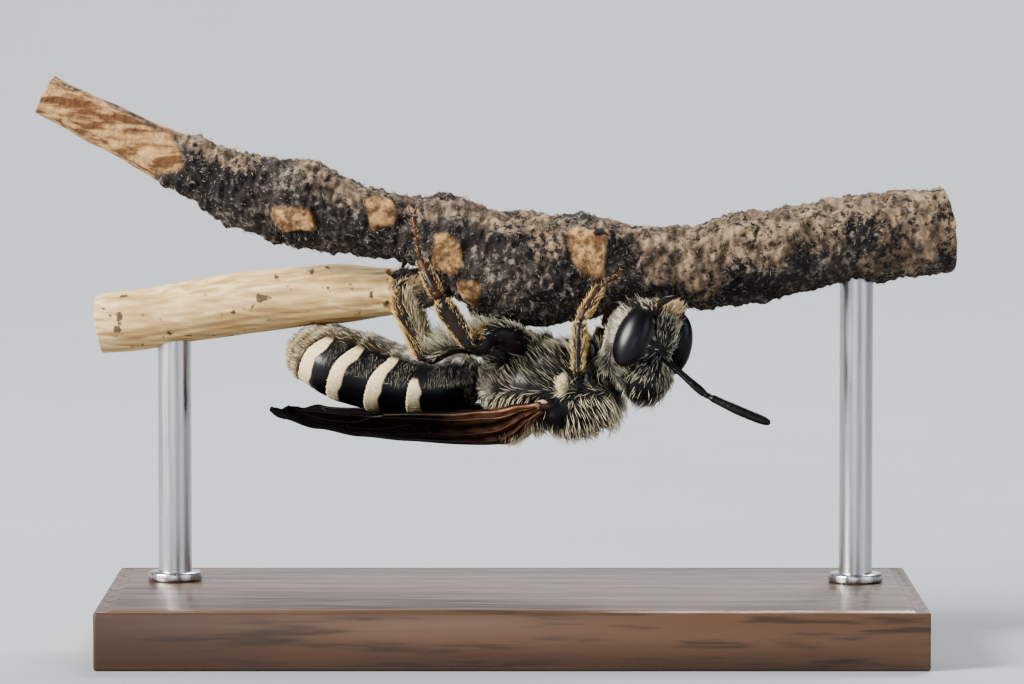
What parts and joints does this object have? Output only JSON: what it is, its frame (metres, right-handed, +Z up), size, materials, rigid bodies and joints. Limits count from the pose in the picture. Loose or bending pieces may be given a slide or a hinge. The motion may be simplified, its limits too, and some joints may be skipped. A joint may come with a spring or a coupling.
{
  "type": "bee",
  "caption": "Still, life-size sweat bee hanging upside down by its legs under a forked dead twig, which two short rods carry over a flat wooden base.",
  "frame": {"origin": "centre of the underside of the stand's base", "axes": "+Z up; +X along the base toward the cut end of the twig, where the bee's head points; +Y away from the side that the bee's left flank faces"},
  "size_m": [0.032, 0.014, 0.0198],
  "materials": {
    "black_shell": "black insect shell, finely pitted, half gloss",
    "banded_shell": "black shell with dense ivory felt bands on the hind edges of the segments",
    "body_hair": "grey to straw-coloured branched hair over black shell",
    "leg_hair": "golden brown hair over blackish brown shell",
    "eye": "smooth black facets with a violet-grey sheen",
    "wing_membrane": "smoky brown membrane with dark veins, red-brown at the hinge",
    "bark": "rough grey and black bark crusted with short pale fibres",
    "peeled_stem": "pale straw-coloured peeled stem with fine lines and dark specks",
    "stand_wood": "dark stained wood with a satin varnish",
    "rod_steel": "brushed steel rod"
  },
  "bodies": {
    "root": {"eye_left": "eye", "eye_right": "eye", "head": "body_hair", "mandible_left": "black_shell", "mandible_right": "black_shell", "antenna_left_scape": "black_shell", "antenna_left_flagellum": "black_shell", "antenna_right_scape": "black_shell", "antenna_right_flagellum": "black_shell", "thorax": "body_hair", "neck": "body_hair", "tegula_left": "black_shell", "tegula_right": "black_shell", "abdomen_segment_1": "banded_shell", "abdomen_segment_2": "banded_shell", "abdomen_segment_3": "banded_shell", "abdomen_segment_4": "banded_shell", "abdomen_segment_5": "body_hair", "abdomen_segment_6": "body_hair", "forewing_left": "wing_membrane", "forewing_right": "wing_membrane", "hindwing_left": "wing_membrane", "hindwing_right": "wing_membrane", "leg_fore_left_femur": "leg_hair", "leg_fore_left_tibia": "leg_hair", "leg_fore_left_tarsus": "leg_hair", "leg_middle_left_femur": "leg_hair", "leg_middle_left_tibia": "leg_hair", "leg_middle_left_tarsus": "leg_hair", "leg_hind_left_femur": "leg_hair", "leg_hind_left_tibia": "leg_hair", "leg_hind_left_tarsus": "leg_hair", "leg_fore_right_femur": "leg_hair", "leg_fore_right_tibia": "leg_hair", "leg_fore_right_tarsus": "leg_hair", "leg_middle_right_femur": "leg_hair", "leg_middle_right_tibia": "leg_hair", "leg_middle_right_tarsus": "leg_hair", "leg_hind_right_femur": "leg_hair", "leg_hind_right_tibia": "leg_hair", "leg_hind_right_tarsus": "leg_hair", "stand_rod_left": "rod_steel", "stand_rod_right": "rod_steel", "stand_base": "stand_wood", "perch_twig": "bark", "perch_branch": "peeled_stem"}
  },
  "joints": []
}
